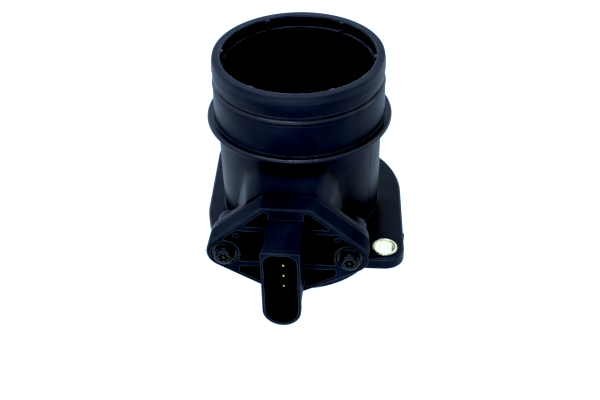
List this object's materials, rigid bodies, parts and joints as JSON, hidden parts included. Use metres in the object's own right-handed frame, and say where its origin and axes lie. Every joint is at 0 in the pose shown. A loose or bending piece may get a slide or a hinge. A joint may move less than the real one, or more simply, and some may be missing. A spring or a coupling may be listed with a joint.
{
  "type": "mass airflow sensor",
  "caption": "Moulded round air duct with a bolted flange, a hose spigot, an inlet lattice and a screwed-in hot-film air flow sensor with a plug socket.",
  "frame": {"origin": "on the duct axis, in the plane of the mounting flange's underside", "axes": "+Z along the duct axis in the direction of the air flow, -Y out of the plug socket"},
  "size_m": [0.0866, 0.115, 0.0973],
  "materials": {
    "duct_plastic": "glass-filled moulding, very dark blue-black, satin",
    "sensor_plastic": "glass-filled moulding, black, satin",
    "lattice_plastic": "plain black moulding",
    "steel_wire": "stainless wire, drawn",
    "plated_bush": "yellow zinc plate, turned",
    "seal_rubber": "black rubber, slightly shiny",
    "plate_aluminium": "rolled sheet",
    "board_ceramic": "fired ceramic with printed tracks",
    "chip_resin": "moulded resin",
    "element_ceramic": "thin ceramic strip with a film heater",
    "black_screw_steel": "black coated steel, glossy",
    "contact_metal": "gold-flashed bronze"
  },
  "bodies": {
    "root": {"housing": "duct_plastic", "sensor_carrier": "sensor_plastic", "electronics_cover": "sensor_plastic", "bypass_cover": "sensor_plastic", "flow_grille": "lattice_plastic", "wire_screen": "steel_wire", "screen_ring": "steel_wire", "flange_bush_near": "plated_bush", "flange_bush_far": "plated_bush", "inlet_seal": "seal_rubber", "carrier_seal": "seal_rubber", "base_plate": "plate_aluminium", "circuit_board": "board_ceramic", "signal_chip": "chip_resin", "sensing_element": "element_ceramic", "sensor_screw_left": "black_screw_steel", "sensor_screw_right": "black_screw_steel", "terminal_1": "contact_metal", "terminal_2": "contact_metal", "terminal_3": "contact_metal", "terminal_4": "contact_metal"}
  },
  "joints": []
}
